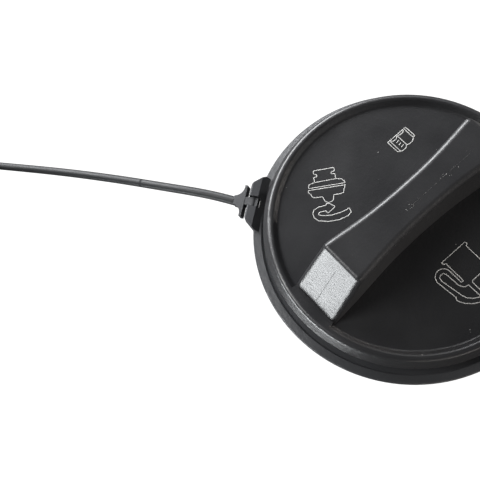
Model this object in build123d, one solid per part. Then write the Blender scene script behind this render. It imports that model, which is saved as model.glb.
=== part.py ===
"""Screw-in fuel filler cap: a ratcheting grip cover on a vented closure, and a tether.

Millimetres. The origin is the centre of the closure's flat lower end, +Z runs up the
cap's axis and +X runs along the grip bar. Each piece of the cap is one STEP file.
"""
import os
from math import atan2, cos, degrees, hypot, pi, radians, sin, sqrt, tan

from build123d import *

os.makedirs("parts", exist_ok=True)

# ---------------------------------------------------------------- clearances
turn_gap = 0.3          # between moulded pieces that turn or slide past each other
pin_gap = 0.06          # radial, on the pins and shafts that run in a hole
seal_gap = 0.05         # between a valve's rubber and its seat, free of load
push_gap = 0.05         # radial, on pieces pushed into place

# ---------------------------------------------------------------- closure body
neck_length = 34.0      # lower end of the neck to the underside of the tether ring
neck_radius = 19.0      # core of the threaded neck
pilot_radius = 18.4     # plain lead-in below the thread
pilot_length = 6.4
neck_wall = 2.4
thread_height = 1.7     # how far the thread stands out of the neck
thread_pitch = 7.0
thread_turns = 1.6
thread_root = 3.6       # width of the thread where it meets the neck
thread_start = 9.0      # height of the thread's lower end
step_radius = 29.0      # body above the gasket, which holds the ratchet cup
step_height = 5.2       # from the gasket's seat to the underside of the flange
flange_radius = 36.2
flange_thickness = 3.2
cup_radius = 26.3       # valleys of the ratchet teeth
cup_floor = 2.2
tooth_count = 36
tooth_height = 1.4
hub_length = 3.7        # bearing that the cover's stem turns in
vent_hole_radius = 1.2
vent_hole_count = 3

# ---------------------------------------------------------------- gasket
gasket_inner = 20.9
gasket_outer = 27.6
gasket_thickness = 2.8

# ---------------------------------------------------------------- grip cover
skirt_wall = 1.1
cover_edge = 5.9        # lower edge of the skirt above the tether ring's underside
skirt_lean = 1.6        # how far the skirt leans in between its edge and the rim's crest
rim_height = 9.5        # crest of the rim above the tether ring's underside
rim_width = 1.4         # crest of the rim before its corners are rounded
rim_roll = 1.3          # radius over the rim's outer corner
rim_ease = 0.8          # radius where the crest, the ramp and the disc meet
rim_ramp = 1.3          # width of the ramp from the crest down to the disc
disc_depth = 1.4        # disc below the crest of the rim
cover_wall = 1.8

# ---------------------------------------------------------------- grip bar
grip_height = 25.5      # top of the bar above the tether ring's underside
grip_setback = 0.8      # foot of each end face from the edge of the disc
grip_slope = 9.2        # length, from above, of each sloping end face
grip_waist = 4.85       # half the bar's width at its middle
grip_shoulder = 6.6     # half its width at the ends of its top
grip_end = 7.3          # half its width at its feet
grip_wall = 2.0
grip_round = 1.5        # radius along the bar's edges and round its end faces

# ---------------------------------------------------------------- drive and ratchet
stem_radius = 5.0       # hollow stem that carries the cover on the closure
stem_bore = 3.0
stem_tail = 3.0         # length of the stem below the bearing
clip_radius = 8.0
clip_thickness = 0.8
clip_depth = 0.5        # groove in the stem
washer_radius = 8.6
washer_thickness = 0.6
ring_hub_inner = 13.0   # ratchet ring
ring_hub_outer = 17.0
ring_height = 3.6
pawl_count = 3
pawl_arm = 1.6          # thickness of a spring arm
pawl_arm_radius = 21.4  # outside of the arms
pawl_sweep = 62.0       # degrees from an arm's root to its nose
rib_width = 4.0         # drive ribs under the cover
rib_inner = 10.5        # inner end of the drive ribs
rib_bite = 2.0          # how far the drive ribs reach into the ratchet ring
grip_rib = 1.4          # cross ribs inside the hollow bar
grip_rib_count = 3
grip_rib_pitch = 12.0

# ---------------------------------------------------------------- valve cartridge
housing_wall = 1.4
seat_plate_radius = 13.2
seat_plate_thickness = 3.0
seat_ring_radius = 9.0  # middle of the raised seat
seat_ring_width = 1.2
seat_ring_height = 3.0
lower_bore_depth = 5.4  # deeper wall that holds the seat plate and the o-ring
o_ring_section = 0.95
o_ring_height = 4.3     # middle of the o-ring above the neck's lower end
inlet_count = 6
seal_inner = 4.0
seal_outer = 10.4
seal_thickness = 1.2
plate_radius = 12.6     # pressure valve
plate_thickness = 1.8
plate_rim = 2.0
guide_width = 4.0
guide_count = 4
passage_radius = 0.7    # passages that the vacuum valve opens
passage_circle = 2.75
passage_count = 4
spring_radius = 10.6    # middle of the pressure spring's wire
spring_wire = 0.65
spring_turns = 5.0
poppet_radius = 5.4     # vacuum valve
poppet_thickness = 1.3
poppet_stem = 1.4
poppet_length = 10.0    # stem above the head
vacuum_spring_radius = 2.6
vacuum_wire = 0.28
vacuum_turns = 4.5
nut_radius = 3.6        # push-on nut that holds the vacuum spring
nut_thickness = 0.8

# ---------------------------------------------------------------- tether ring
ring_gap = 0.6          # dark gap between the cover's edge and the ring's band
ring_band = 2.5         # width of the band that shows round the cover
ring_thickness = 1.5
ring_fall = 0.4         # how far the top of the band slopes down to its outer edge
web_thickness = 0.9     # thinner web under the skirt
collar_wall = 1.0
lip_depth = 1.6         # how far the ring reaches in under the flange
bead_depth = 0.7        # snap bead over the flange
finger_count = 6
finger_gap = 14.0       # degrees between the collar's fingers
tether_azimuth = 126.2  # where the lug stands, from the grip bar
lug_length = 2.3        # how far the lug stands out of the ring
lug_root_width = 16.4
lug_end_width = 10.4
lug_height = 3.6
slot_width = 3.0
slot_depth = 3.4        # slot for the tongue, from the lug's end
pivot_inset = 1.4       # hinge axis from the lug's end
pivot_height = 1.9      # hinge axis above the ring's underside

# ---------------------------------------------------------------- tether
tongue_width = 2.4
tongue_thickness = 2.2
pivot_radius = 0.8
pivot_length = 7.0
shoulder_gap = 0.95     # between the lug's end and the yoke's shoulders
yoke_width = 9.4
yoke_thickness = 2.4
yoke_length = 3.35      # from the shoulders to the strap
yoke_pitch = 13.0       # degrees that the yoke hangs down
strap_radius = 1.3
anchor_radius = 6.0
anchor_thickness = 2.7
anchor_neck = 3.0
stud_radius = 2.9
stud_length = 9.0
barb_radius = 3.8
barb_length = 3.6
stud_slot = 1.2

# Centre line of the strap from the yoke to the anchor.
strap_route = [
    (-30.85, 43.85, 33.3),
    (-34.9, 51.1, 31.2),
    (-40.0, 60.2, 27.5),
    (-48.8, 75.8, 21.5),
    (-60.3, 95.0, 13.8),
    (-73.0, 114.3, 6.7),
    (-86.2, 132.2, 2.4),
    (-97.5, 144.6, 1.35),
    (-112.0, 145.6, 1.35),
    (-121.7, 135.5, 1.35),
    (-120.2, 121.6, 1.35),
    (-108.6, 113.8, 1.35),
]

# ---------------------------------------------------------------- derived heights
ring_z = neck_length
flange_z = ring_z + web_thickness + turn_gap
flange_top = flange_z + flange_thickness
seat_z = flange_z - step_height             # gasket's seat, the underside of the step
cup_z = seat_z + cup_floor
bore_radius = neck_radius - neck_wall
hub_z = cup_z - hub_length                  # underside of the bearing
edge_z = ring_z + cover_edge
crest_z = ring_z + rim_height
disc_z = crest_z - disc_depth
plate_z = disc_z - cover_wall               # underside of the cover's disc
grip_z = ring_z + grip_height
collar_inner = flange_radius + turn_gap
collar_outer = collar_inner + collar_wall
cover_inner = collar_outer + turn_gap       # inside of the skirt at its edge
cover_radius = cover_inner + skirt_wall
rim_outer = cover_radius - skirt_lean       # where the skirt's slope would meet the crest
rim_inner = rim_outer - rim_width
disc_radius = rim_inner - rim_ramp
ring_inner = cover_radius + ring_gap
ring_radius = ring_inner + ring_band
grip_foot = disc_radius - grip_setback      # half the bar's length where it meets the rim
grip_top = grip_foot - grip_slope           # half the length of its flat top
collar_top = flange_top + turn_gap + 0.7
housing_radius = bore_radius - push_gap
housing_inner = housing_radius - housing_wall
housing_top = hub_z - 1.4
seat_top = seat_plate_thickness + seat_ring_height
seal_z = seat_top + seal_gap
valve_z = seal_z + seal_thickness
spring_foot = valve_z + plate_thickness
spring_head = housing_top - housing_wall
head_top = seal_z - seal_gap


def save(shape, node):
    """Write one piece to its own STEP file."""
    shape.label = node
    export_step(shape, f"parts/{node}.step")


def turned(points):
    """Solid of revolution round Z from (radius, height) points."""
    outline = make_face(Polyline([(r, 0, z) for r, z in points], close=True))
    return revolve(outline, Axis.Z)


def ring_solid(inner, outer, low, high):
    """Plain ring between two radii and two heights."""
    return turned([(inner, low), (outer, low), (outer, high), (inner, high)])


def polar(radius, angle, height=0.0):
    """Point at a radius and an angle in degrees."""
    return (radius * cos(radians(angle)), radius * sin(radians(angle)), height)


def coil(radius, wire, low, high, turns):
    """Open coil spring whose wire lies between two heights."""
    length = high - low - 2 * wire
    path = Pos(0, 0, low + wire) * Helix(length / turns, length, radius)
    start = Plane(origin=path @ 0, z_dir=path % 0)
    return sweep(start * Circle(wire), path=path, is_frenet=True)


# ---------------------------------------------------------------- closure body
def ratchet_cup():
    """Room for the ratchet ring, with saw teeth round its wall."""
    pitch = 360 / tooth_count
    tip = cup_radius - tooth_height
    outline = []
    for k in range(tooth_count):
        outline.append(polar(tip, k * pitch + 0.03 * pitch)[:2])
        outline.append(polar(cup_radius, (k + 1) * pitch - 0.03 * pitch)[:2])
    face = make_face(Polyline(outline, close=True))
    return Pos(0, 0, cup_z) * extrude(face, flange_top - cup_z + 1)


def neck_thread():
    """Coarse round-topped thread that climbs the neck."""
    height = thread_pitch * thread_turns
    path = Pos(0, 0, thread_start) * Helix(thread_pitch, height, neck_radius)
    sunk = 0.5
    half_root = thread_root / 2
    half_top = half_root - thread_height * 0.55
    start = Plane(origin=path @ 0, x_dir=(1, 0, 0), z_dir=path % 0)
    profile = make_face(Polyline([
        (-sunk, -half_root), (0, -half_root), (thread_height, -half_top),
        (thread_height, half_top), (0, half_root), (-sunk, half_root)], close=True))
    return sweep(start * profile, path=path, is_frenet=True)


body = turned([
    (bore_radius, 0), (pilot_radius - 0.6, 0), (pilot_radius, 0.6), (pilot_radius, pilot_length),
    (neck_radius, pilot_length + 0.4), (neck_radius, seat_z),
    (step_radius, seat_z), (step_radius, flange_z), (flange_radius, flange_z),
    (flange_radius, flange_top), (0, flange_top), (0, hub_z), (bore_radius, hub_z)])
body -= ratchet_cup()
body -= Pos(0, 0, hub_z) * Cylinder(stem_radius + pin_gap, 2 * neck_length)
for place in PolarLocations((clip_radius + bore_radius) / 2, vent_hole_count, start_angle=60):
    body -= Pos(0, 0, hub_z + hub_length / 2) * place * Cylinder(vent_hole_radius, hub_length + 2)
body += neck_thread()
save(body, "closure_body")

save(ring_solid(gasket_inner, gasket_outer, seat_z - gasket_thickness, seat_z), "neck_gasket")


# ---------------------------------------------------------------- grip cover
def cover_disc():
    """Disc, rolled rim and sloping skirt of the cover, without the bar."""
    corners = [
        (0, plate_z), (rim_outer - skirt_wall - 0.3, plate_z),
        (cover_inner, edge_z), (cover_radius, edge_z), (rim_outer, crest_z),
        (rim_inner, crest_z), (disc_radius, disc_z), (0, disc_z)]
    section = make_face(Polyline([(r, 0, z) for r, z in corners], close=True))
    for (r, z), radius in zip(corners[3:7], (0.3, rim_roll, rim_ease, rim_ease)):
        corner = section.vertices().sort_by_distance((r, 0, z))[0]
        section = fillet(corner, radius)
    return revolve(section, Axis.Z)


def bar_plan(inset, far):
    """Waisted outline of the bar from above, to a distance on both sides."""
    flare = (grip_end - grip_shoulder) / (grip_foot - grip_top)
    ends = grip_end + flare * (far - grip_foot)
    half = [(-far, ends), (-grip_foot, grip_end), (-grip_top, grip_shoulder),
            (-grip_top / 2, grip_waist + 0.25 * (grip_shoulder - grip_waist)), (0, grip_waist)]
    half = [(x, y - inset) for x, y in half]
    side = Spline(*half, *[(-x, y) for x, y in half[-2::-1]])
    other = side.mirror(Plane.XZ)
    return make_face([side, Line(side @ 1, other @ 1), other, Line(other @ 0, side @ 0)])


def bar(inset, low, high):
    """Waisted bar with sloping ends, drawn in from its outside by inset."""
    prism = Pos(0, 0, low) * extrude(bar_plan(inset, grip_foot + 2), high - low)
    slope = (grip_z - crest_z) / (grip_foot - grip_top)
    run = inset * sqrt(1 + slope ** 2) / slope
    foot = grip_foot - run + (crest_z - low) / slope
    top = grip_foot - run - (high - crest_z) / slope
    view = make_face(Polyline([(-foot, low), (foot, low), (top, high), (-top, high)], close=True))
    wedge = extrude(Plane.XZ * view, 30, both=True)
    return prism & wedge


shell = cover_disc()
grip = bar(0, plate_z + 0.2, grip_z)
ends = grip.faces().sort_by(Axis.X)
end_edges = ends[0].edges() + ends[-1].edges()
sides = end_edges.filter_by(lambda e: abs(e.tangent_at(0.5).Z) > 0.5)
grip = fillet(sides + grip.faces().sort_by(Axis.Z)[-1].edges(), grip_round)
shell += grip
land = Pos(0, 0, plate_z + 0.2) * extrude(bar_plan(grip_round * 0.3, rim_outer), crest_z - plate_z - 0.2)
land &= Cylinder(rim_inner + 0.3, 2 * crest_z)
shell += land
hollow = bar(grip_wall, plate_z - 1, grip_z - grip_wall)
for place in GridLocations(grip_rib_pitch, 1, grip_rib_count, 1):
    hollow -= place * Pos(0, 0, disc_z + 1) * Box(
        grip_rib, 4 * grip_end, grip_height, align=(Align.CENTER, Align.CENTER, Align.MIN))
shell -= hollow
stem = Pos(0, 0, hub_z - stem_tail) * Cylinder(
    stem_radius, plate_z + 0.5 - hub_z + stem_tail, align=(Align.CENTER, Align.CENTER, Align.MIN))
stem -= Pos(0, 0, hub_z - stem_tail - 1) * Cylinder(
    stem_bore, plate_z - hub_z + stem_tail + 5, align=(Align.CENTER, Align.CENTER, Align.MIN))
clip_top = hub_z - turn_gap - washer_thickness - 0.1
stem -= ring_solid(stem_radius - clip_depth, stem_radius + 1, clip_top - clip_thickness - 0.05,
                   clip_top + 0.05)
shell += stem
rib_foot = cup_z + turn_gap + 0.5
for place in PolarLocations(0, pawl_count, start_angle=90):
    rib = Pos(0, 0, rib_foot) * Box(ring_hub_inner + rib_bite - rib_inner, rib_width - 0.2,
                                     plate_z + 0.3 - rib_foot,
                                     align=(Align.MIN, Align.CENTER, Align.MIN))
    shell += place * Pos(rib_inner, 0, 0) * rib
save(shell, "grip_cover")


# ---------------------------------------------------------------- ratchet ring
def ratchet_plan():
    """Ring with spring arms that end in pawl noses, seen from above."""
    pitch = 360 / tooth_count
    plan = Circle(ring_hub_outer) - Circle(ring_hub_inner)
    for k in range(pawl_count):
        start = 90 + k * 360 / pawl_count
        reach = rib_bite + push_gap + 0.15
        notch = Rot(0, 0, start) * Pos(ring_hub_inner, 0, 0) * Rectangle(2 * reach, rib_width)
        plan -= notch
    for k in range(pawl_count):
        nose = 30 + k * 360 / pawl_count            # a tooth's radial wall stands here
        root = nose - pawl_sweep
        arm_inner = pawl_arm_radius - pawl_arm
        arm = Circle(pawl_arm_radius) - Circle(arm_inner)
        reach = 60.0
        window = make_face(Polyline([
            (0, 0), polar(reach, root)[:2], polar(reach, (root + nose) / 2)[:2],
            polar(reach, nose - 1.6)[:2]], close=True))
        arm = arm & window
        block = Rot(0, 0, root + 4) * Pos((ring_hub_outer + arm_inner) / 2, 0, 0) * Rectangle(
            arm_inner - ring_hub_outer + 1.4, 3.4)
        face_angle = nose - 0.03 * pitch - degrees(turn_gap / cup_radius)
        tip = cup_radius - turn_gap - 0.05
        back = face_angle - 0.62 * pitch
        slope = tooth_height * 0.66
        tooth = make_face(Polyline([
            polar(arm_inner + 0.4, back)[:2], polar(tip - slope, back)[:2],
            polar(tip - 0.1, face_angle)[:2], polar(arm_inner + 0.4, face_angle)[:2]], close=True))
        plan += arm
        plan += block
        plan += tooth
    return plan


ratchet = Pos(0, 0, cup_z + turn_gap) * extrude(ratchet_plan(), ring_height)
save(ratchet, "ratchet_ring")

clip = ring_solid(stem_radius - clip_depth + 0.02, clip_radius, clip_top - clip_thickness, clip_top)
clip -= Pos(stem_radius, 0, clip_top - clip_thickness / 2) * Box(
    2 * stem_radius, 5.0, 2, align=(Align.MIN, Align.CENTER, Align.CENTER))
save(clip, "retaining_clip")
save(ring_solid(stem_radius + 0.1, washer_radius, clip_top + 0.05,
                clip_top + 0.05 + washer_thickness), "thrust_washer")

# ---------------------------------------------------------------- valve cartridge
groove = housing_radius - bore_radius + 2 * o_ring_section
housing = turned([
    (seat_plate_radius + push_gap, 0), (housing_radius, 0),
    (housing_radius, o_ring_height - 1.1), (housing_radius - groove, o_ring_height - 1.1),
    (housing_radius - groove, o_ring_height + 1.1), (housing_radius, o_ring_height + 1.1),
    (housing_radius, housing_top), (washer_radius + 0.5, housing_top),
    (washer_radius + 0.5, spring_head), (housing_inner, spring_head),
    (housing_inner, lower_bore_depth + 1.2), (seat_plate_radius + push_gap, lower_bore_depth)])
save(housing, "valve_housing")
o_ring = Pos(0, 0, o_ring_height) * Torus(bore_radius - o_ring_section, o_ring_section)
save(o_ring, "housing_o_ring")

seat = turned([
    (0, 0), (seat_plate_radius, 0), (seat_plate_radius, seat_plate_thickness),
    (seat_ring_radius + seat_ring_width / 2, seat_plate_thickness),
    (seat_ring_radius + seat_ring_width / 2 - 0.3, seat_top),
    (seat_ring_radius - seat_ring_width / 2 + 0.3, seat_top),
    (seat_ring_radius - seat_ring_width / 2, seat_plate_thickness), (0, seat_plate_thickness)])
inlet = Pos(0, 0, seat_plate_thickness / 2) * extrude(
    SlotCenterToCenter(1.6, 1.9, rotation=90), seat_plate_thickness, both=True)
for place in PolarLocations(6.4, inlet_count):
    seat -= place * inlet
save(seat, "valve_seat")

save(ring_solid(seal_inner, seal_outer, seal_z, valve_z), "valve_seal")

plate = turned([
    (0, valve_z), (plate_radius, valve_z), (plate_radius, spring_foot + plate_rim),
    (plate_radius - 0.8, spring_foot + plate_rim), (plate_radius - 1.0, spring_foot),
    (4.4, spring_foot), (4.0, spring_foot + 0.8), (0, spring_foot + 0.8)])
for place in PolarLocations(0, guide_count, start_angle=45):
    finger = Box(housing_inner - turn_gap - plate_radius + 0.6, guide_width,
                 plate_thickness + plate_rim, align=(Align.MIN, Align.CENTER, Align.MIN))
    plate += place * Pos(plate_radius - 0.6, 0, valve_z) * finger
plate -= Cylinder(poppet_stem + pin_gap, 2 * neck_length)
for place in PolarLocations(passage_circle, passage_count, start_angle=45):
    plate -= place * Pos(0, 0, valve_z) * Cylinder(passage_radius, 4 * plate_thickness)
save(plate, "pressure_valve")
save(coil(spring_radius, spring_wire, spring_foot, spring_head, spring_turns), "pressure_spring")

poppet = turned([
    (0, head_top - poppet_thickness), (poppet_radius - 0.5, head_top - poppet_thickness),
    (poppet_radius, head_top - poppet_thickness + 0.5), (poppet_radius, head_top),
    (poppet_stem, head_top), (poppet_stem, head_top + poppet_length - 0.5),
    (poppet_stem - 0.5, head_top + poppet_length), (0, head_top + poppet_length)])
save(poppet, "vacuum_valve")
nut_z = head_top + poppet_length - 2.0
save(coil(vacuum_spring_radius, vacuum_wire, spring_foot + 0.8, nut_z - 0.02, vacuum_turns),
     "vacuum_spring")
save(ring_solid(poppet_stem + 0.01, nut_radius, nut_z, nut_z + nut_thickness), "stem_nut")

# ---------------------------------------------------------------- tether ring
lug_end = ring_radius + lug_length
pivot_radius_from_axis = lug_end - pivot_inset
pivot_z = ring_z + pivot_height
ring_top = ring_z + ring_thickness
ring_shoulder = ring_top - ring_fall
ring = turned([
    (flange_radius - lip_depth, ring_z), (ring_radius - 0.4, ring_z), (ring_radius, ring_z + 0.4),
    (ring_radius, ring_shoulder - 0.3), (ring_radius - 0.3, ring_shoulder),
    (ring_inner + 0.3, ring_top), (ring_inner, ring_top - 0.2), (ring_inner, ring_z + web_thickness),
    (flange_radius - lip_depth, ring_z + web_thickness)])
collar = turned([
    (collar_inner, ring_z + web_thickness - 0.2), (collar_outer, ring_z + web_thickness - 0.2),
    (collar_outer, collar_top), (collar_inner, collar_top),
    (collar_inner - bead_depth, collar_top - 0.35), (collar_inner, flange_top + turn_gap)])
for place in PolarLocations(collar_inner, finger_count, start_angle=tether_azimuth):
    gap = Box(4 * collar_wall, 2 * collar_inner * sin(radians(finger_gap / 2)), 2 * flange_thickness,
              align=(Align.CENTER, Align.CENTER, Align.MIN))
    collar -= place * Pos(0, 0, ring_z + web_thickness) * gap
ring += collar
lug_plan = make_face(Polyline([
    (ring_inner + 0.2, -lug_root_width / 2), (ring_radius - 1.2, -lug_root_width / 2),
    (lug_end, -lug_end_width / 2), (lug_end, lug_end_width / 2),
    (ring_radius - 1.2, lug_root_width / 2), (ring_inner + 0.2, lug_root_width / 2)], close=True))
for x, y in ((lug_end, -lug_end_width / 2), (lug_end, lug_end_width / 2)):
    lug_plan = fillet(lug_plan.vertices().sort_by_distance((x, y, 0))[0], 0.8)
lug = Pos(0, 0, ring_z) * extrude(lug_plan, lug_height)
lug_side = make_face(Polyline([
    (ring_inner + 0.2, ring_z), (lug_end, ring_z), (lug_end, ring_z + lug_height - 0.5),
    (lug_end - 0.5, ring_z + lug_height), (ring_radius - 0.4, ring_z + lug_height),
    (ring_inner + 0.2, ring_top)], close=True))
lug &= extrude(Plane.XZ * lug_side, lug_root_width, both=True)
turn_lug = Rot(0, 0, tether_azimuth)
ring += turn_lug * lug
slot = Pos(lug_end - slot_depth, 0, ring_z - 1) * Box(
    slot_depth + 2, slot_width, lug_height + 2, align=(Align.MIN, Align.CENTER, Align.MIN))
ring -= turn_lug * slot
pivot_hole = Pos(pivot_radius_from_axis, 0, pivot_z) * Rot(90, 0, 0) * Cylinder(
    pivot_radius + pin_gap, pivot_length + 2 * turn_gap)
ring -= turn_lug * pivot_hole
save(ring, "tether_ring")

# ---------------------------------------------------------------- tether
shoulder = pivot_inset + shoulder_gap
tail = shoulder + yoke_length
head_end = shoulder + 0.8
curve_mid = (shoulder + 0.42 * yoke_length, strap_radius + 0.30 * (yoke_width / 2 - strap_radius))
flank = ThreePointArc((head_end, yoke_width / 2), curve_mid, (tail, strap_radius))
other_flank = flank.mirror(Plane.XZ)
flare = make_face([
    flank, Line((tail, strap_radius), (tail, -strap_radius)), other_flank,
    Polyline((head_end, -yoke_width / 2), (shoulder, -yoke_width / 2),
             (shoulder, yoke_width / 2), (head_end, yoke_width / 2))])
yoke = extrude(flare, yoke_thickness / 2, both=True)
yoke += Box(shoulder + 0.3, tongue_width, tongue_thickness,
            align=(Align.MIN, Align.CENTER, Align.CENTER))
yoke += Rot(90, 0, 0) * Cylinder(tongue_thickness / 2, tongue_width)
yoke += Pos(-1.6, 0, 0) * Box(1.6, tongue_width, tongue_thickness * 0.7,
                              align=(Align.MIN, Align.CENTER, Align.CENTER))
yoke += Rot(90, 0, 0) * Cylinder(pivot_radius, pivot_length)
at_pivot = turn_lug * Pos(pivot_radius_from_axis, 0, pivot_z) * Rot(0, yoke_pitch, 0)
save(at_pivot * yoke, "tether_yoke")

exit_point = at_pivot * Pos(tail, 0, 0)
exit_xyz = exit_point.position
route = [exit_xyz] + [Vector(*p) for p in strap_route]
radii = []
for before, point, after in zip(route, route[1:], route[2:]):
    turn = radians((point - before).get_angle(after - point))
    shorter = min((point - before).length, (after - point).length)
    radii.append(0.45 * shorter / tan(turn / 2))
print("strap radii", [round(r, 1) for r in radii])
strap_path = FilletPolyline(*route, radius=radii)
start = Plane(origin=route[0], z_dir=route[1] - route[0])
strap = sweep(start * Circle(strap_radius), path=strap_path)
print("strap length", round(strap_path.length, 1), "volume", round(strap.volume, 1),
      "section times length", round(pi * strap_radius ** 2 * strap_path.length, 1))
strap -= at_pivot * yoke
save(strap, "tether_strap")

last = route[-1] - route[-2]
heading = degrees(atan2(last.Y, last.X))
head = Cylinder(anchor_radius, anchor_thickness, align=(Align.CENTER, Align.CENTER, Align.MIN))
head = chamfer(head.edges(), 0.4)
reach = anchor_radius + anchor_neck
tab_plan = make_face(Polyline([
    (-reach, -strap_radius), (-3, -anchor_radius * 0.75), (-3, anchor_radius * 0.75),
    (-reach, strap_radius)], close=True))
head += extrude(tab_plan, anchor_thickness - 0.1)
stud = turned([
    (0, 1.0), (stud_radius, 1.0), (stud_radius, anchor_thickness + stud_length - barb_length),
    (barb_radius, anchor_thickness + stud_length - barb_length),
    (barb_radius, anchor_thickness + stud_length - barb_length + 0.8),
    (stud_radius - 1.0, anchor_thickness + stud_length), (0, anchor_thickness + stud_length)])
for angle in (0, 90):
    stud -= Rot(0, 0, angle) * Pos(0, 0, anchor_thickness + 1.5) * Box(
        3 * barb_radius, stud_slot, stud_length, align=(Align.CENTER, Align.CENTER, Align.MIN))
anchor = head + stud
end = route[-1]
anchor = Pos(end.X, end.Y, 0) * Rot(0, 0, heading) * Pos(reach, 0, 0) * anchor
save(anchor, "tether_anchor")
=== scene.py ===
# %% [markdown]
# # A fuel filler cap, dressed for a studio picture
#
# The solids of the cap come from a CAD model and stand fixed in the scene, in metres. Here they
# get their surfaces: satin black moulded plastic, a grey flexible strap, laser-marked signs,
# steel and rubber. The cap stands on its neck at the origin. Z runs up its axis and X runs along
# the grip bar.
#
# Each step has a short text before it that says what the piece or finish is on a real cap, how it
# could be made, and why it is made this way here.

# %% Load the fixed frame
import math
import random

import bpy
from mathutils import Matrix, Vector


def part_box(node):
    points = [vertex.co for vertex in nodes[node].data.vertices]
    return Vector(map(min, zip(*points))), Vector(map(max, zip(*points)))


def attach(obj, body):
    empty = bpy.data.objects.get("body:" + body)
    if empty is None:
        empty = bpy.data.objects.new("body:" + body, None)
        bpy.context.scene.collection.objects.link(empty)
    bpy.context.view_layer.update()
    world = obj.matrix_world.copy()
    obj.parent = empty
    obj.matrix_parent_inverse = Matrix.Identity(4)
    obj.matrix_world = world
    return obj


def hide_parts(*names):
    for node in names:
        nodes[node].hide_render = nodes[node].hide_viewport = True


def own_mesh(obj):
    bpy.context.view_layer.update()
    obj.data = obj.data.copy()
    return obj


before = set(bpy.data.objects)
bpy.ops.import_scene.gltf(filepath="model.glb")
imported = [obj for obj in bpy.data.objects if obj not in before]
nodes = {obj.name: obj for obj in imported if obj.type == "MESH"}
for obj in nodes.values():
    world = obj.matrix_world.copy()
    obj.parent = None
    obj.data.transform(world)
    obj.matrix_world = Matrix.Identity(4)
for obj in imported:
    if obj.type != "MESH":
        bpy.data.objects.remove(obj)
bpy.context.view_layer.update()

# %% [markdown]
# ## The cap's own sizes
#
# A detail that is drawn on the cover has to lie on it. The heights and lengths that the details
# need are read from the solids' boxes where they can be, so that the details follow the solids.

# %% Sizes that the details need
MM = 0.001
DISC_HEIGHT = 8.1     # mm from the ring's underside to the flat disc on both sides of the grip
GRIP_HEIGHT = 25.5    # mm from the ring's underside to the flat top of the grip
ring_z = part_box("tether_ring")[0][2]
grip_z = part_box("grip_cover")[1][2]
disc_z = ring_z + DISC_HEIGHT * MM
print("ring at", round(ring_z, 4), "disc at", round(disc_z, 4), "grip top at", round(grip_z, 4))

# %% [markdown]
# ## Camera
#
# The cap is seen from high on its left, through a moderately long lens, and it fills the right of
# the frame. A camera can be aimed with a constraint, but its matrix is clearer when the view has
# a roll of its own: three directions (to its right, up its picture, and back towards the person
# who holds it) and a place.

# %% Camera
scene = bpy.context.scene
camera_data = bpy.data.cameras.new("camera")
camera_data.sensor_width = 36.0
camera_data.lens = 52.5
camera_data.clip_start = 0.01
camera_data.clip_end = 20.0
camera = bpy.data.objects.new("camera", camera_data)
scene.collection.objects.link(camera)
scene.camera = camera
right = Vector((0.7514, -0.6497, -0.1155)).normalized()
back = Vector((-0.1266, -0.3137, 0.9410)).normalized()
up = back.cross(right).normalized()
right = up.cross(back)
place = Vector((-0.06029, -0.03279, 0.18648)) + Vector((0, 0, ring_z))
camera.matrix_world = Matrix.Translation(place) @ Matrix((right, up, back)).transposed().to_4x4()
print("camera height", round(place.z, 3))

# %% [markdown]
# ## Floor and backdrop
#
# The cap stands on a white sweep that runs out of the picture. A white floor that also lights the
# cap as strongly as it shines at the camera would wash out black plastic from below, so a studio
# keeps the light off the paper near the piece. Here the floor's paint glows fully where the
# camera looks straight at it, and its own paint is dark for every other ray. The dome above does
# the same: white behind the cap, and dim grey where it lights it. The Standard view transform
# keeps that white pure, where a filmic one would turn it grey.

# %% Floor
WHITE = (1, 1, 1, 1)
UNLIT_PAPER = (0.06, 0.06, 0.06, 1)
FLOOR_REACH = 3.0     # metres from the middle of the floor to its sides


def new_material(name):
    """A material with nodes, its node tree and the Principled BSDF in it."""
    material = bpy.data.materials.new(name)
    material.use_nodes = True
    return material, material.node_tree, material.node_tree.nodes["Principled BSDF"]


floor_mesh = bpy.data.meshes.new("floor")
floor_corners = [(x * FLOOR_REACH, y * FLOOR_REACH, 0)
                 for x, y in ((-1, -1), (1, -1), (1, 1), (-1, 1))]
floor_mesh.from_pydata(floor_corners, [], [(0, 1, 2, 3)])
floor = bpy.data.objects.new("floor", floor_mesh)
scene.collection.objects.link(floor)

floor_paper, paper_tree, paper = new_material("floor_paper")
paper.inputs["Base Color"].default_value = UNLIT_PAPER
paper.inputs["Roughness"].default_value = 0.9
paper.inputs["Emission Color"].default_value = WHITE
ray = paper_tree.nodes.new("ShaderNodeLightPath")
paper_tree.links.new(ray.outputs["Is Camera Ray"], paper.inputs["Emission Strength"])
floor_mesh.materials.append(floor_paper)
print("floor:", floor.name, "with", floor_paper.name)

# %% Dome
DIM_DOME = (0.080, 0.082, 0.086, 1)
scene.view_settings.view_transform = "Standard"
scene.view_settings.look = "None"
world = bpy.data.worlds.new("studio")
scene.world = world
world.use_nodes = True
sky = world.node_tree
background = sky.nodes["Background"]
seen = sky.nodes.new("ShaderNodeLightPath")
behind = sky.nodes.new("ShaderNodeMix")
behind.data_type = "RGBA"
behind.inputs["A"].default_value = DIM_DOME
behind.inputs["B"].default_value = WHITE
sky.links.new(seen.outputs["Is Camera Ray"], behind.inputs["Factor"])
sky.links.new(behind.outputs["Result"], background.inputs["Color"])
print("world:", world.name)

# %% [markdown]
# ## Lights
#
# Black plastic shows almost nothing of its own colour: what is seen is light on its edges and on
# its steep faces. A small bright card lies on the floor at the left and shows in the slanted end
# of the grip and in the skirt below it. A high box on the left lifts the ring and the strap, two
# long strips behind draw the far edge of the grip and the back of the rim, and three weaker ones
# round the near rim from the back, the right and the front.

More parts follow.
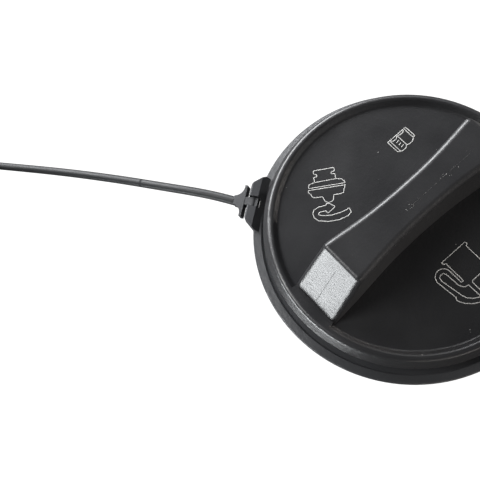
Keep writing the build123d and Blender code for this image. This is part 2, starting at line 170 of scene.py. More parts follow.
# %% Soft boxes
NEUTRAL, COOL, WARM = (1, 1, 1), (0.97, 0.98, 1.0), (1.0, 0.95, 0.90)
CARD_TINT = (0.955, 0.985, 1.0)
OVER_CARD, RIM, GRIP = (-0.215, 0.02, 0.30), (0, 0, 0.04), (0, 0, 0.05)    # what the lamps face


def soft_box(name, at, towards, size, watts, colour=NEUTRAL):
    """A rectangular lamp, unseen by the camera, that faces a point; all in metres and watts."""
    data = bpy.data.lights.new(name, "AREA")
    data.shape = "RECTANGLE"
    data.size, data.size_y = size
    data.energy = watts
    data.color = colour
    lamp = bpy.data.objects.new(name, data)
    scene.collection.objects.link(lamp)
    aim = Vector(towards) - Vector(at)
    lamp.rotation_euler = aim.to_track_quat("-Z", "Y").to_euler()
    lamp.location = at
    lamp.visible_camera = False


soft_box("left_card", (-0.215, 0.02, 0.004), OVER_CARD, (0.17, 0.15), 1.78, CARD_TINT)
soft_box("left_high", (-0.9, 0.6, 1.1), RIM, (0.6, 0.6), 14.0)
soft_box("back_strip", (0.06, 1.0, 0.42), GRIP, (1.2, 0.55), 34.0, COOL)
soft_box("back_high", (0.10, 1.0, 0.80), GRIP, (1.2, 0.5), 1.0, COOL)
soft_box("back_right", (0.60, 0.62, 0.68), GRIP, (0.5, 0.35), 2.0, COOL)
soft_box("right_low", (0.9, -0.55, 0.16), RIM, (0.6, 0.18), 16.0, WARM)
soft_box("front_low", (-0.3, -1.15, 0.40), RIM, (0.9, 0.30), 3.0, WARM)

# %% [markdown]
# ## Shader groups
#
# Moulded plastic takes the texture of its mould: a spark-eroded mould leaves fine rounded cells,
# and the flow of the melt changes the gloss a little from place to place. The cover, the ring,
# the neck and the valves all show it, only coarser or finer, so it is a node group, built once,
# which each material places with its own values. Sloping faces can show a coarser orange peel
# than flat ones, because the mould was drawn off along them, so the group adds more of its waves
# where the normal leans. It puts out a height, a roughness and a mask.

# %% Helpers for node groups
def new_group(name, inputs, outputs):
    """An empty shader group with named sockets: (name, kind, default) in, (name, kind) out."""
    tree = bpy.data.node_groups.new(name, "ShaderNodeTree")
    for label, kind, value in inputs:
        socket = tree.interface.new_socket(label, in_out="INPUT", socket_type=kind)
        socket.default_value = value
    for label, kind in outputs:
        tree.interface.new_socket(label, in_out="OUTPUT", socket_type=kind)
    return tree, tree.nodes.new("NodeGroupInput"), tree.nodes.new("NodeGroupOutput")


def add(tree, kind, **settings):
    """A node of a tree, with its properties and its inputs set by name (spaces as underscores)."""
    node = tree.nodes.new(kind)
    for key, value in settings.items():
        label = key.replace("_", " ")
        if label in node.inputs:
            node.inputs[label].default_value = value
        else:
            setattr(node, key, value)
    return node


# %% Moulded grain
CELLS_TO_NOISE = 0.45             # the rounded cells are about twice as wide as the fine noise
CELL_WEIGHT = 0.9
FLOW_SCALE, WAVE_SCALE = 70.0, 1000.0
FLAT_Z, LEANING_Z = 0.95, 0.80    # the normal's Z where the extra swell begins and is full

grain, grain_in, grain_out = new_group(
    "moulded_grain",
    [("Vector", "NodeSocketVector", (0, 0, 0)), ("Fineness", "NodeSocketFloat", 2600.0),
     ("Swell", "NodeSocketFloat", 0.5), ("Wall Swell", "NodeSocketFloat", 0.0),
     ("Low Roughness", "NodeSocketFloat", 0.35), ("High Roughness", "NodeSocketFloat", 0.45)],
    [("Height", "NodeSocketFloat"), ("Roughness", "NodeSocketFloat"), ("Mask", "NodeSocketFloat")])
link = grain.links.new
fine = add(grain, "ShaderNodeTexNoise", Detail=3.0, Roughness=0.6)
cells = add(grain, "ShaderNodeTexVoronoi", feature="SMOOTH_F1")
cell_scale = add(grain, "ShaderNodeMath", operation="MULTIPLY")
cell_scale.inputs[1].default_value = CELLS_TO_NOISE
flow = add(grain, "ShaderNodeTexNoise", Scale=FLOW_SCALE, Detail=3.0)
join = add(grain, "ShaderNodeMath", operation="MULTIPLY_ADD")
join.inputs[1].default_value = CELL_WEIGHT
spread = add(grain, "ShaderNodeMapRange", From_Min=0.3, From_Max=0.7)
waves = add(grain, "ShaderNodeTexNoise", Scale=WAVE_SCALE, Detail=1.0)
total = add(grain, "ShaderNodeMath", operation="MULTIPLY_ADD")
stance = add(grain, "ShaderNodeNewGeometry")
uprightness = add(grain, "ShaderNodeSeparateXYZ")
leaning = add(grain, "ShaderNodeMapRange", From_Min=FLAT_Z, From_Max=LEANING_Z)
swelling = add(grain, "ShaderNodeMath", operation="MULTIPLY_ADD")
for texture in (fine, cells, flow, waves):
    link(grain_in.outputs["Vector"], texture.inputs["Vector"])
link(grain_in.outputs["Fineness"], fine.inputs["Scale"])
link(grain_in.outputs["Fineness"], cell_scale.inputs[0])
link(cell_scale.outputs[0], cells.inputs["Scale"])
link(cells.outputs["Distance"], join.inputs[0])
link(fine.outputs["Fac"], join.inputs[2])
link(stance.outputs["Normal"], uprightness.inputs["Vector"])
link(uprightness.outputs["Z"], leaning.inputs["Value"])
link(leaning.outputs["Result"], swelling.inputs[0])
link(grain_in.outputs["Wall Swell"], swelling.inputs[1])
link(grain_in.outputs["Swell"], swelling.inputs[2])
link(waves.outputs["Fac"], total.inputs[0])
link(swelling.outputs[0], total.inputs[1])
link(join.outputs[0], total.inputs[2])
link(total.outputs[0], grain_out.inputs["Height"])
link(flow.outputs["Fac"], spread.inputs["Value"])
link(grain_in.outputs["Low Roughness"], spread.inputs["To Min"])
link(grain_in.outputs["High Roughness"], spread.inputs["To Max"])
link(spread.outputs["Result"], grain_out.inputs["Roughness"])
link(flow.outputs["Fac"], grain_out.inputs["Mask"])
print("grain group:", len(grain.nodes), "nodes")

# %% [markdown]
# Dust is the second shared effect. Some specks always lie on black plastic, and they fall on what
# faces up. The group picks a few cells of a Voronoi pattern by their random colour, keeps only
# the middle of each, and dims the result on walls by the normal's Z.

# %% Settled dust
SPECK_EDGE, SPECK_CORE = 0.16, 0.08    # shares of a cell where a speck ends and is full
WALL_Z, TOP_Z = 0.5, 0.95              # the normal's Z where no dust stays and where all of it does

dust, dust_in, dust_out = new_group(
    "settled_dust",
    [("Vector", "NodeSocketVector", (0, 0, 0)), ("Fineness", "NodeSocketFloat", 700.0),
     ("Amount", "NodeSocketFloat", 0.04)],
    [("Mask", "NodeSocketFloat")])
link = dust.links.new
plots = add(dust, "ShaderNodeTexVoronoi", feature="F1")
apart = add(dust, "ShaderNodeSeparateColor")
chosen = add(dust, "ShaderNodeMath", operation="LESS_THAN")
dot = add(dust, "ShaderNodeMapRange", From_Min=SPECK_EDGE, From_Max=SPECK_CORE)
facing = add(dust, "ShaderNodeNewGeometry")
upward = add(dust, "ShaderNodeSeparateXYZ")
level = add(dust, "ShaderNodeMapRange", From_Min=WALL_Z, From_Max=TOP_Z)
both = add(dust, "ShaderNodeMath", operation="MULTIPLY")
all_three = add(dust, "ShaderNodeMath", operation="MULTIPLY")
link(dust_in.outputs["Vector"], plots.inputs["Vector"])
link(dust_in.outputs["Fineness"], plots.inputs["Scale"])
link(plots.outputs["Color"], apart.inputs["Color"])
link(apart.outputs["Red"], chosen.inputs[0])
link(dust_in.outputs["Amount"], chosen.inputs[1])
link(plots.outputs["Distance"], dot.inputs["Value"])
link(facing.outputs["Normal"], upward.inputs["Vector"])
link(upward.outputs["Z"], level.inputs["Value"])
link(chosen.outputs[0], both.inputs[0])
link(dot.outputs[0], both.inputs[1])
link(both.outputs[0], all_three.inputs[0])
link(level.outputs[0], all_three.inputs[1])
link(all_three.outputs[0], dust_out.inputs["Mask"])
print("dust group:", len(dust.nodes), "nodes")

# %% [markdown]
# ## Plastics and rubbers
#
# The cover and the neck are black nylon, the ring and the tether a softer black that looks grey
# where light grazes it. A plain black with one roughness would look like paint, so each material
# mixes two close blacks by the grain's mask, takes its roughness from the group and bends its
# normal by the grain's height. The dust only lightens the colour where a speck lies.

# %% A grained material
def grained(name, dark, pale, roughness, wander, fineness):
    """Two close colours, and a roughness that wanders down and up by two shares, from the grain
    group; the nodes to build on come with the material."""
    material, tree, shader = new_material(name)
    where = add(tree, "ShaderNodeTexCoord")
    texture = add(tree, "ShaderNodeGroup", node_tree=grain)
    texture.inputs["Fineness"].default_value = fineness
    texture.inputs["Low Roughness"].default_value = roughness - wander[0]
    texture.inputs["High Roughness"].default_value = roughness + wander[1]
    tint = add(tree, "ShaderNodeMix", data_type="RGBA")
    tint.inputs["A"].default_value = (*dark, 1)
    tint.inputs["B"].default_value = (*pale, 1)
    tree.links.new(where.outputs["Object"], texture.inputs["Vector"])
    tree.links.new(texture.outputs["Mask"], tint.inputs["Factor"])
    tree.links.new(tint.outputs["Result"], shader.inputs["Base Color"])
    tree.links.new(texture.outputs["Roughness"], shader.inputs["Roughness"])
    return material, where, texture, tint


# %% Moulded materials
GRAIN_DEPTH = 0.12 * MM
MOULDED_WANDER = (0.04, 0.06)
DUST_COLOUR = (0.30, 0.29, 0.28, 1)


def moulded(name, dark, pale, roughness, fineness, relief, dusty=0.0, swell=0.5, wall_swell=0.0,
            specular=0.5):
    """Plastic or rubber: a grained material whose grain also stands in relief, with some dust."""
    material, where, texture, tint = grained(name, dark, pale, roughness, MOULDED_WANDER, fineness)
    tree = material.node_tree
    shader = tree.nodes["Principled BSDF"]
    shader.inputs["IOR"].default_value = 1.5
    shader.inputs["Specular IOR Level"].default_value = specular
    texture.inputs["Swell"].default_value = swell
    texture.inputs["Wall Swell"].default_value = wall_swell
    bump = add(tree, "ShaderNodeBump", Strength=relief, Distance=GRAIN_DEPTH)
    tree.links.new(texture.outputs["Height"], bump.inputs["Height"])
    tree.links.new(bump.outputs["Normal"], shader.inputs["Normal"])
    if dusty:
        specks = add(tree, "ShaderNodeGroup", node_tree=dust)
        specks.inputs["Amount"].default_value = dusty
        dusted = add(tree, "ShaderNodeMix", data_type="RGBA")
        dusted.inputs["B"].default_value = DUST_COLOUR
        tree.links.new(where.outputs["Object"], specks.inputs["Vector"])
        tree.links.new(specks.outputs["Mask"], dusted.inputs["Factor"])
        tree.links.new(tint.outputs["Result"], dusted.inputs["A"])
        tree.links.new(dusted.outputs["Result"], shader.inputs["Base Color"])
    return material


# %% Plastics and rubbers of the cap
cover_nylon = moulded("cover_nylon", (0.015, 0.015, 0.016), (0.020, 0.020, 0.021), 0.33, 2400, 0.16,
                      dusty=0.02, swell=0.3, wall_swell=2.6)
body_nylon = moulded("body_nylon", (0.014, 0.014, 0.015), (0.020, 0.020, 0.021), 0.40, 1800, 0.4)
ring_plastic = moulded("ring_plastic", (0.034, 0.035, 0.037), (0.042, 0.043, 0.046), 0.33, 2200,
                       0.3)
tether_plastic = moulded("tether_plastic", (0.028, 0.029, 0.031), (0.036, 0.037, 0.039), 0.42, 1500,
                         0.3, specular=0.26)
gasket_rubber = moulded("gasket_rubber", (0.012, 0.012, 0.012), (0.020, 0.020, 0.020), 0.55, 1200,
                        0.4)
seal_rubber = moulded("seal_rubber", (0.03, 0.07, 0.15), (0.04, 0.09, 0.18), 0.50, 1200, 0.3)
acetal = moulded("cartridge_acetal", (0.72, 0.69, 0.62), (0.80, 0.77, 0.70), 0.38, 1500, 0.15)
washer_nylon = moulded("washer_nylon", (0.64, 0.62, 0.56), (0.74, 0.72, 0.66), 0.45, 1500, 0.15)
valve_nylon = moulded("valve_nylon", (0.07, 0.075, 0.085), (0.09, 0.095, 0.10), 0.42, 1500, 0.2)
# Painted shade: darker and duller than the cover, for the seam down the grip's slanted end.
seam_nylon = moulded("seam_nylon", (0.008, 0.008, 0.008), (0.012, 0.012, 0.012), 0.80, 3000, 0.3)
print("materials so far:", len(bpy.data.materials))

# %% [markdown]
# ## Steel
#
# The springs are cold-drawn wire, and the clip and the nut are stamped from bright strip. Metal
# shows no paint under its gloss, only tinted reflections: what counts is a full Metallic value, a
# slightly uneven tint and a roughness that changes a little along the surface, which the grain
# group gives.

# %% Drawn steel
STEEL_WANDER, STEEL_FINENESS = (0.05, 0.08), 3000


def drawn_steel(name, dark, bright, roughness):
    """Bright wire and strip with fine uneven gloss left by the drawing die."""
    material = grained(name, dark, bright, roughness, STEEL_WANDER, STEEL_FINENESS)[0]
    material.node_tree.nodes["Principled BSDF"].inputs["Metallic"].default_value = 1.0
    return material


spring_steel = drawn_steel("spring_wire", (0.50, 0.51, 0.53), (0.66, 0.66, 0.67), 0.28)
clip_steel = drawn_steel("clip_strip", (0.42, 0.43, 0.45), (0.56, 0.56, 0.58), 0.34)
print("steels:", spring_steel.name, clip_steel.name)

# %% [markdown]
# ## Finish of each solid
#
# On a real cap each moulding has one grade of plastic and one finish all over, and so has each
# spring and seal. Materials could be given to single faces, but here one slot on each solid is
# enough. The solids keep their shapes. The strap's solid gets a material too, although a smoother
# cord stands in for it further down.

# %% Materials onto the solids
finish_of = {
    "grip_cover": cover_nylon, "closure_body": body_nylon, "tether_ring": ring_plastic,
    "tether_yoke": tether_plastic, "tether_strap": tether_plastic, "tether_anchor": tether_plastic,
    "neck_gasket": gasket_rubber, "housing_o_ring": gasket_rubber, "valve_seal": seal_rubber,
    "valve_housing": acetal, "valve_seat": acetal, "ratchet_ring": acetal,
    "thrust_washer": washer_nylon,
    "pressure_valve": valve_nylon, "vacuum_valve": valve_nylon, "pressure_spring": spring_steel,
    "vacuum_spring": spring_steel, "retaining_clip": clip_steel, "stem_nut": clip_steel}
for name, material in finish_of.items():
    mesh = nodes[name].data
    mesh.materials.clear()
    mesh.materials.append(material)
print("finished solids:", len(finish_of))

# %% [markdown]
# ## The springs
#
# Each valve moves against a spring. The big spring stands between the pressure valve and the roof
# of its housing, and the small one between the pressure valve and the nut on the poppet. A spring
# isn't a hinge: one end stays, and the coils close towards it. Here each spring only gets a mesh
# of its own; the table gives each spring's valve joint, its travel and its fixed end, which
# nothing in this script uses.

# %% Springs get meshes of their own
BOTTOM, TOP = 0, 1
travel = {"pressure_spring": ("pressure_relief", 3.0 * MM, TOP),
          "vacuum_spring": ("vacuum_relief", 1.3 * MM, BOTTOM)}
for name, (joint, stroke, fixed_end) in travel.items():
    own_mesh(nodes[name])

# %% [markdown]
# ## Signs on the disc
#
# Three small signs are laser-marked on the disc in thin pale lines: the cap with an arrow that
# shows how it turns, an open book that sends the owner to the handbook, and a fuel pump. They
# could be a picture wrapped on the disc, but a picture blurs when it is seen close. Lines are
# better drawn as lines: each sign is a list of strokes in millimetres, and a Geometry Nodes tree
# turns the strokes into curves, rounds their corners and sweeps a flat ribbon along them.

# %% Helpers for Geometry Nodes
SAME_POINT = 1e-6     # metres between two points that count as one


def new_geometry_tree(name, inputs):
    """A geometry tree with a Geometry input and output and named inputs: (name, kind, default)."""
    tree = bpy.data.node_groups.new(name, "GeometryNodeTree")
    tree.interface.new_socket("Geometry", in_out="INPUT", socket_type="NodeSocketGeometry")
    tree.interface.new_socket("Geometry", in_out="OUTPUT", socket_type="NodeSocketGeometry")
    for label, kind, value in inputs:
        socket = tree.interface.new_socket(label, in_out="INPUT", socket_type=kind)
        if value is not None:
            socket.default_value = value
    return tree, tree.nodes.new("NodeGroupInput"), tree.nodes.new("NodeGroupOutput")


def made_by(tree, name, source, body, slot, **values):
    """Run a tree on a mesh, keep the result as a plain mesh and let it ride on a body."""
    piece = bpy.data.objects.new(name, source)
    scene.collection.objects.link(piece)
    modifier = piece.modifiers.new(tree.name, "NODES")
    modifier.node_group = tree
    for item in tree.interface.items_tree:
        key = item.name.lower().replace(" ", "_")
        if item.item_type == "SOCKET" and item.in_out == "INPUT" and key in values:
            modifier[item.identifier] = values[key]
    depsgraph = bpy.context.evaluated_depsgraph_get()
    result = bpy.data.meshes.new_from_object(piece.evaluated_get(depsgraph))
    result.name = name
    piece.modifiers.clear()
    piece.data = result
    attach(piece, body)
    return piece


def stroke_mesh(name, strokes):
    """Edges through the points of each stroke; a stroke that ends where it starts is closed."""
    points, edges = [], []
    for stroke in strokes:
        closed = (Vector(stroke[0]) - Vector(stroke[-1])).length < SAME_POINT
        kept = stroke[:-1] if closed else stroke
        first = len(points)
        points += [tuple(point) for point in kept]
        edges += [(first + i, first + i + 1) for i in range(len(kept) - 1)]
        if closed:
            edges.append((len(points) - 1, first))
    mesh = bpy.data.meshes.new(name)
    mesh.from_pydata(points, edges, [])
    return mesh


# %% Ribbon along strokes
ROUND_CORNER_POINTS = 3

ribbon, ribbon_in, ribbon_out = new_geometry_tree(
    "marked_lines",
    [("Line Width", "NodeSocketFloat", 0.0003), ("Line Height", "NodeSocketFloat", 0.00005),
     ("Corner Radius", "NodeSocketFloat", 0.0002), ("Paint", "NodeSocketMaterial", None)])
to_curve = add(ribbon, "GeometryNodeMeshToCurve")
corners = add(ribbon, "GeometryNodeFilletCurve", Limit_Radius=True, mode="POLY")
corners.inputs["Count"].default_value = ROUND_CORNER_POINTS
flat = add(ribbon, "GeometryNodeSetCurveNormal")
flat.mode = "Z_UP"
section = add(ribbon, "GeometryNodeCurvePrimitiveQuadrilateral")
sweep = add(ribbon, "GeometryNodeCurveToMesh", Fill_Caps=True)
whole = add(ribbon, "GeometryNodeRealizeInstances")
painted = add(ribbon, "GeometryNodeSetMaterial")
link = ribbon.links.new
link(ribbon_in.outputs["Geometry"], to_curve.inputs["Mesh"])
link(to_curve.outputs["Curve"], corners.inputs["Curve"])
link(ribbon_in.outputs["Corner Radius"], corners.inputs["Radius"])
link(corners.outputs["Curve"], flat.inputs["Curve"])
link(flat.outputs["Curve"], sweep.inputs["Curve"])
link(ribbon_in.outputs["Line Width"], section.inputs["Width"])
link(ribbon_in.outputs["Line Height"], section.inputs["Height"])
link(section.outputs["Curve"], sweep.inputs["Profile Curve"])
link(sweep.outputs["Mesh"], whole.inputs["Geometry"])
link(whole.outputs["Geometry"], painted.inputs["Geometry"])
link(ribbon_in.outputs["Paint"], painted.inputs["Material"])
link(painted.outputs["Geometry"], ribbon_out.inputs["Geometry"])
print("marked_lines tree:", len(ribbon.nodes), "nodes")

# %% [markdown]
# The strokes are our own plain drawings of signs that any such cap carries. The cap and its arrow
# are drawn where they stand; the book and the pump are drawn upright first and then turned.

# %% Strokes of the cap and its arrow
turning_cap = [
    [(-3.8, 3.8), (-3.8, 4.6), (-4.1, 5.2), (-3.1, 5.5), (-3.1, 6.2), (-3.9, 6.2), (-4.0, 7.3),
     (1.5, 8.1), (1.8, 7.6), (1.7, 7.0), (0.8, 6.8), (0.9, 6.3), (1.9, 6.2), (2.0, 4.7)],
    [(-5.5, 2.1), (-5.3, 3.2), (-3.8, 3.8), (2.0, 4.7), (3.6, 4.6), (4.4, 3.9), (4.6, 3.4),
     (-5.5, 2.1)],
    [(-5.5, 1.5), (4.6, 2.8)],
    [(-5.5, 1.5), (-5.5, 0.7), (-4.9, 0.4), (-4.6, -0.3), (-4.0, -0.7), (-1.7, -0.5), (-1.4, -1.2),
     (-1.0, -1.9), (-0.2, -2.2), (0.6, -2.0), (1.2, -1.5), (1.3, 0.0), (3.0, 0.2), (4.0, 0.5),
     (4.2, 1.7), (4.6, 2.8)]]
turning_arrow = [
    [(0.3, -2.6), (-0.7, -2.4), (-0.9, -3.0), (-3.0, -3.5), (-4.2, -4.3), (-4.5, -5.3),
     (-4.2, -6.5), (-3.0, -7.4), (-0.5, -7.7), (2.5, -7.3), (4.8, -6.3), (5.8, -5.2), (5.3, -3.8),
     (4.6, -4.5), (3.0, -5.2), (0.5, -5.9), (-1.5, -6.0), (-3.2, -5.7), (-2.6, -4.9), (-1.0, -4.6),
     (-0.5, -5.3), (1.6, -3.5), (0.3, -2.6)]]

# %% Strokes of the book and the pump
open_book = [
    [(0, 0), (6.8, 0), (6.85, 3.45), (6.1, 3.75), (5.2, 4.3), (4.2, 4.4), (3.3, 4.05), (2.5, 4.55),
     (1.2, 4.6), (0.5, 4.2), (0, 3.85), (0, 0)],
    [(0.6, 0.0), (1.5, 0.85), (2.4, 0.8), (3.35, 0.3), (4.25, 0.65), (5.2, 0.65), (6.0, 0.0)],
    [(3.35, 0.3), (3.3, 4.05)],
    [(0.75, 0.2), (0.7, 4.2)], [(6.15, 0.1), (6.15, 3.7)],
    [(1.7, 1.75), (2.7, 1.6)], [(1.7, 2.65), (2.5, 2.5)], [(1.7, 3.55), (2.7, 3.4)]]
fuel_pump = [
    [(0.5, 0.85), (0.0, 0.85), (-0.15, 0.4), (0.1, 0.0), (8.3, 0.0), (8.55, 0.4), (8.2, 0.8),
     (7.75, 0.8), (7.75, 7.1), (8.45, 6.95), (8.5, 2.6), (8.9, 1.7), (9.6, 1.15), (10.4, 0.9),
     (11.5, 1.0), (12.5, 1.8), (12.95, 2.8), (12.3, 8.9), (12.7, 9.5), (12.5, 10.2), (11.7, 11.5),
     (10.2, 12.9), (8.9, 13.6), (7.5, 14.0), (6.9, 14.4), (1.1, 14.4), (0.5, 13.8), (0.5, 0.85)],
    [(7.5, 12.9), (8.1, 12.6), (9.4, 11.8), (10.4, 10.7), (10.8, 9.6), (11.9, 3.4), (11.6, 2.5),
     (10.9, 2.15), (10.1, 2.3), (9.75, 3.0), (9.5, 7.0), (9.2, 7.8), (8.6, 8.45), (7.65, 8.6),
     (7.5, 12.9)],
    [(1.9, 8.5), (6.0, 8.5), (6.4, 8.9), (6.4, 12.2), (6.0, 12.6), (1.9, 12.6), (1.5, 12.2),
     (1.5, 8.9), (1.9, 8.5)]]

# %% Signs where they stand
SIGN_TURN = math.radians(-41.0)    # of each sign about its own centre
SIGN_LIFT = 0.015                  # mm from the disc to the middle of the ribbon


def placed(strokes, centre, corner=(0, 0), along=(1, 0), across=(0, 1)):
    """Strokes in metres on the disc: from the sign's own corner and axes to u and v about its
    centre, and then turned about that centre."""
    c, s = math.cos(SIGN_TURN), math.sin(SIGN_TURN)
    result = []
    for stroke in strokes:
        line = []
        for a, b in stroke:
            u = corner[0] + a * along[0] + b * across[0]
            v = corner[1] + a * along[1] + b * across[1]
            line.append(((centre[0] + u * c - v * s) * MM, (centre[1] + u * s + v * c) * MM,
                         disc_z + SIGN_LIFT * MM))
        result.append(line)
    return result


signs = placed(turning_cap + turning_arrow, (-9.99, 19.78))
signs += placed(open_book, (15.49, 17.72), corner=(-3.9, -0.3), along=(0.757, 0.653),
                across=(0.653, -0.757))
signs += placed(fuel_pump, (-0.73, -17.74), corner=(2.9, 7.5), along=(-0.76, -0.65),
                across=(0.65, -0.76))
print("strokes:", len(signs))

# %% [markdown]
# Laser marking foams the surface of black nylon: the lines are pale, dull and a little broken. So
# the mark's colour wanders between two pale greys with the grain's mask.

# %% Marking and signs
marking = moulded("laser_mark", (0.38, 0.38, 0.37), (0.55, 0.54, 0.52), 0.60, 5000, 0.3)
cover_signs = made_by(ribbon, "cover_signs", stroke_mesh("sign_strokes", signs), "cover",
                      "cover_nylon", line_width=0.22 * MM, line_height=0.05 * MM,
                      corner_radius=0.22 * MM, paint=marking)
heights = [v.co.z for v in cover_signs.data.vertices]
print("signs:", len(cover_signs.data.polygons), "faces, from",
      round((min(heights) - disc_z) / MM, 3), "to", round((max(heights) - disc_z) / MM, 3), "mm")

# %% [markdown]
# ## Parting line of the grip
#
# The two halves of the mould met along the middle of the grip and left a faint raised line down
# its slanted end and along its top, rubbed away in places. A Geometry Nodes tree walks along that
# line, drops part of the steps by a fixed seed, and puts a tiny ridge of uneven length on the
# others. Down the slanted end the ridges are darker and duller than the cover: painted shade
# that draws the seam as a dark line. Along the top they are paler: partly scuffed plastic, partly
# a painted highlight where the ridge catches light.

# %% Ridge tree
SMALLEST_BAR, LARGEST_BAR = (0.6, 0.5, 0.5), (1.0, 1.1, 1.6)    # shares of a full bar

ridge, ridge_in, ridge_out = new_geometry_tree(
    "parting_ridge",
    [("Step", "NodeSocketFloat", 0.0008), ("Width", "NodeSocketFloat", 0.0001),
     ("Kept", "NodeSocketFloat", 0.7), ("Seed", "NodeSocketInt", 4),
     ("Plastic", "NodeSocketMaterial", None)])
walk = add(ridge, "GeometryNodeMeshToCurve")
steps = add(ridge, "GeometryNodeCurveToPoints")
steps.mode = "LENGTH"
gone = add(ridge, "FunctionNodeRandomValue", data_type="BOOLEAN")
gap = add(ridge, "GeometryNodeDeleteGeometry", domain="POINT")
keep_less = add(ridge, "ShaderNodeMath", operation="SUBTRACT")
keep_less.inputs[0].default_value = 1.0
bar = add(ridge, "GeometryNodeMeshCube")
bar_size = add(ridge, "ShaderNodeCombineXYZ")
thin = add(ridge, "ShaderNodeMath", operation="MULTIPLY")
thin.inputs[1].default_value = 0.5
put = add(ridge, "GeometryNodeInstanceOnPoints")
length = add(ridge, "FunctionNodeRandomValue", data_type="FLOAT_VECTOR")
length.inputs["Min"].default_value = SMALLEST_BAR
length.inputs["Max"].default_value = LARGEST_BAR
real = add(ridge, "GeometryNodeRealizeInstances")
coated = add(ridge, "GeometryNodeSetMaterial")
link = ridge.links.new
link(ridge_in.outputs["Geometry"], walk.inputs["Mesh"])
link(walk.outputs["Curve"], steps.inputs["Curve"])
link(ridge_in.outputs["Step"], steps.inputs["Length"])
link(steps.outputs["Points"], gap.inputs["Geometry"])
link(ridge_in.outputs["Kept"], keep_less.inputs[1])
link(keep_less.outputs[0], gone.inputs["Probability"])
link(ridge_in.outputs["Seed"], gone.inputs["Seed"])
link(gone.outputs["Value"], gap.inputs["Selection"])
link(gap.outputs["Geometry"], put.inputs["Points"])
link(steps.outputs["Rotation"], put.inputs["Rotation"])
link(ridge_in.outputs["Width"], thin.inputs[0])
link(ridge_in.outputs["Width"], bar_size.inputs["Y"])
link(thin.outputs[0], bar_size.inputs["X"])
link(ridge_in.outputs["Step"], bar_size.inputs["Z"])
link(bar_size.outputs["Vector"], bar.inputs["Size"])
link(bar.outputs["Mesh"], put.inputs["Instance"])
link(ridge_in.outputs["Seed"], length.inputs["Seed"])
link(length.outputs["Value"], put.inputs["Scale"])
link(put.outputs["Instances"], real.inputs["Geometry"])
link(real.outputs["Geometry"], coated.inputs["Geometry"])
link(ridge_in.outputs["Plastic"], coated.inputs["Material"])
link(coated.outputs["Geometry"], ridge_out.inputs["Geometry"])
print("parting_ridge tree:", len(ridge.nodes), "nodes")

# %% Parting line along the grip
PARTING_Y = -0.9                  # mm beside the middle of the grip
PARTING_ENDS = (-3.0, 22.0)       # mm along the grip
# Paler than the cover: partly scuffed plastic along the ridge, partly a painted highlight on it.
rubbed_nylon = moulded("rubbed_nylon", (0.05, 0.05, 0.05), (0.12, 0.12, 0.12), 0.40, 5000, 0.3)
top_line = [(x * MM, PARTING_Y * MM, grip_z) for x in PARTING_ENDS]
parting = made_by(ridge, "grip_parting_line", stroke_mesh("parting_strokes", [top_line]), "cover",
                  "cover_nylon", step=0.7 * MM, width=0.10 * MM, kept=0.62, seed=7,
                  plastic=rubbed_nylon)
print("parting line on top:", len(parting.data.polygons), "faces")

# %% Parting line down the slanted end
FROM_TOP_EDGE, FROM_FOOT = 3.0, 1.5    # mm that the line keeps from both ends of the slanted face
slant_foot = Vector((-33.9 * MM, 0, ring_z + 9.3 * MM))
slant_head = Vector((-24.5 * MM, 0, grip_z))
downhill = (slant_foot - slant_head).normalized()
end_line = [tuple(slant_head + downhill * FROM_TOP_EDGE * MM),
            tuple(slant_foot - downhill * FROM_FOOT * MM)]
# The ridge is wider here and uses the painted shade plastic: a dark line down the lit end.
end_parting = made_by(ridge, "end_parting_line", stroke_mesh("end_strokes", [end_line]), "cover",
                      "cover_nylon", step=0.9 * MM, width=0.21 * MM, kept=0.92, seed=3,
                      plastic=seam_nylon)
print("parting line on the end:", len(end_parting.data.polygons), "faces")

# %% [markdown]
# ## Nicks in the nylon
#
# Handling leaves small pale nicks on the grip's top, most of them beside the parting line, and a
# few on the disc. Each is a chip of a few faces, pressed almost flat, scattered with a fixed
# seed.

# %% Places of the nicks
TOP_NICKS = 26
RUBBED_X = [-3.0, 0.0, 7.5, 7.8, 14.0]     # mm along the grip, where hands meet it most
SPREAD_ALONG, SPREAD_ACROSS = 1.4, 0.55    # mm round those places and round the parting line
disc_nicks = [(8.46, 19.86, 0.16), (-9.5, -30.8, 0.13), (-9.9, -31.2, 0.10),
              (-15.3, -32.2, 0.12), (-16.8, -30.7, 0.15), (-16.9, 29.4, 0.10), (2.8, 13.7, 0.08),
              (-12.2, 11.4, 0.08), (20.3, 9.4, 0.09), (5.1, -26.0, 0.09)]
chance = random.Random(11)
spots = []                                 # x, y, height above the ring's underside, size, in mm
for _ in range(TOP_NICKS):
    x = chance.choice(RUBBED_X) + chance.gauss(0, SPREAD_ALONG)
    y = PARTING_Y + chance.gauss(0, SPREAD_ACROSS)
    spots.append((x, y, GRIP_HEIGHT, chance.uniform(0.05, 0.12)))
spots += [(x, y, DISC_HEIGHT, size) for x, y, size in disc_nicks]
print("places:", len(spots))

# %% Nicks
SIDES = 5             # of each chip
SUNK = 0.01           # mm that a chip's foot lies in the nylon
CROWN = 0.25          # its height, as a share of its size
nick_points, nick_faces = [], []
for x, y, z, size in spots:
    first = len(nick_points)
    for k in range(SIDES):
        angle = 2 * math.pi * (k + chance.uniform(-0.25, 0.25)) / SIDES
        reach = size * chance.uniform(0.7, 1.2)
        nick_points.append(((x + reach * math.cos(angle)) * MM, (y + reach * math.sin(angle)) * MM,
                            ring_z + (z - SUNK) * MM))
    nick_points.append((x * MM, y * MM, ring_z + (z + CROWN * size) * MM))
    nick_faces += [(first + k, first + (k + 1) % SIDES, first + SIDES) for k in range(SIDES)]
    nick_faces.append(tuple(first + k for k in reversed(range(SIDES))))
nick_mesh = bpy.data.meshes.new("cover_nicks")
nick_mesh.from_pydata(nick_points, [], nick_faces)
nick_mesh.materials.append(marking)
nicks = bpy.data.objects.new("cover_nicks", nick_mesh)
scene.collection.objects.link(nicks)
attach(nicks, "cover")
print("nicks:", len(nick_mesh.polygons), "faces")

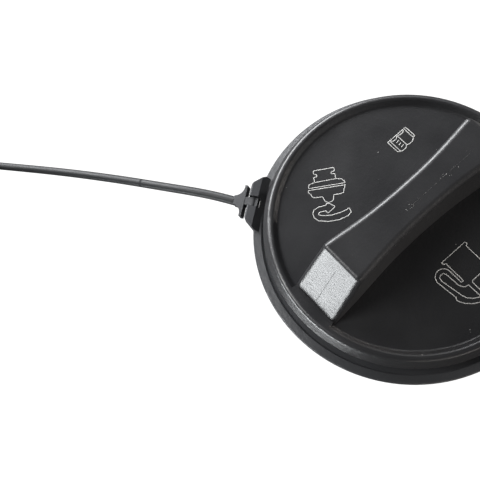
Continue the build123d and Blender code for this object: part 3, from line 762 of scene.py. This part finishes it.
# %% [markdown]
# ## The strap
#
# The strap is a cord of soft plastic that keeps the bends it was packed with. It leaves the yoke,
# falls to the floor and turns back to its anchor. One smooth NURBS line through its route is its
# centre line, and a round section follows it. About a fifth of the way along, a fine dull ring
# shows where two halves of its mould met end to end. The ring is in the material: a plane cuts
# the strap there, and whatever lies within about a third of a millimetre of the plane is dull.
# The spline's order is set after its points are added, because set before, it leaves straight
# runs.

# %% Ring mark in a material
def ring_mark(material, point, along, half_width):
    """Dull the surface close to a plane through a point, square to a direction."""
    tree = material.node_tree
    shader = tree.nodes["Principled BSDF"]
    axis = Vector(along).normalized()
    where = add(tree, "ShaderNodeTexCoord")
    reach = add(tree, "ShaderNodeVectorMath", operation="DOT_PRODUCT")
    reach.inputs[1].default_value = axis
    away = add(tree, "ShaderNodeMath", operation="SUBTRACT")
    away.inputs[1].default_value = Vector(point).dot(axis)
    size = add(tree, "ShaderNodeMath", operation="ABSOLUTE")
    inside = add(tree, "ShaderNodeMath", operation="LESS_THAN")
    inside.inputs[1].default_value = half_width
    dull = add(tree, "ShaderNodeMix", data_type="FLOAT")
    dull.inputs["B"].default_value = 1.0
    tree.links.new(where.outputs["Object"], reach.inputs[0])
    tree.links.new(reach.outputs["Value"], away.inputs[0])
    tree.links.new(away.outputs[0], size.inputs[0])
    tree.links.new(size.outputs[0], inside.inputs[0])
    tree.links.new(inside.outputs[0], dull.inputs["Factor"])
    tree.links.new(shader.inputs["Roughness"].links[0].from_socket, dull.inputs["A"])
    tree.links.new(dull.outputs["Result"], shader.inputs["Roughness"])


# Painted shade: a darker copy of the yoke's tether plastic, against the strong light from the left.
strap_plastic = moulded("strap_plastic", (0.014, 0.015, 0.016), (0.020, 0.021, 0.022), 0.42, 1500,
                        0.3, specular=0.20)
ring_mark(strap_plastic, point=(-0.044, 0.0675, 0.0246), along=(-8.8, 15.6, -6.0),
          half_width=0.36 * MM)
print("strap material:", strap_plastic.name)

# %% The strap's route
PIN_RADIUS, PIN_HEIGHT = 42.9, 35.9    # mm from the cap's axis and floor to the hinge pin
YOKE_REACH = 5.7                       # mm from the pin to the end of the yoke
azimuth, droop = math.radians(126.2), math.radians(13.0)
pin = Vector((PIN_RADIUS * math.cos(azimuth), PIN_RADIUS * math.sin(azimuth), PIN_HEIGHT)) * MM
outward = Vector((math.cos(azimuth) * math.cos(droop), math.sin(azimuth) * math.cos(droop),
                  -math.sin(droop)))
strap_exit = pin + outward * YOKE_REACH * MM
strap_route = [
    (-30.85, 43.85, 33.3), (-34.9, 51.1, 31.2), (-40.0, 60.2, 27.5), (-48.8, 75.8, 21.5),
    (-60.3, 95.0, 13.8), (-73.0, 114.3, 6.7), (-86.2, 132.2, 2.4), (-97.5, 144.6, 1.35),
    (-112.0, 145.6, 1.35), (-121.7, 135.5, 1.35), (-120.2, 121.6, 1.35), (-108.6, 113.8, 1.35)]
route = [strap_exit] + [Vector(point) * MM for point in strap_route]
print("strap control points:", len(route))

# %% Strap
STRAP_RADIUS = 1.3    # mm
strap_curve = bpy.data.curves.new("strap_line", "CURVE")
strap_curve.dimensions = "3D"
spline = strap_curve.splines.new("NURBS")
spline.points.add(len(route) - 1)
for control, point in zip(spline.points, route):
    control.co = (*point, 1)
spline.order_u = 3
spline.use_endpoint_u = True
spline.resolution_u = 16
strap_curve.bevel_depth = STRAP_RADIUS * MM
strap_curve.bevel_resolution = 7
strap_curve.use_fill_caps = True
strap_curve.materials.append(strap_plastic)
strap = bpy.data.objects.new("strap_cord", strap_curve)
scene.collection.objects.link(strap)
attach(strap, "tether")
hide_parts("tether_strap")
print("strap leaves the yoke at", [round(value, 4) for value in strap_exit])
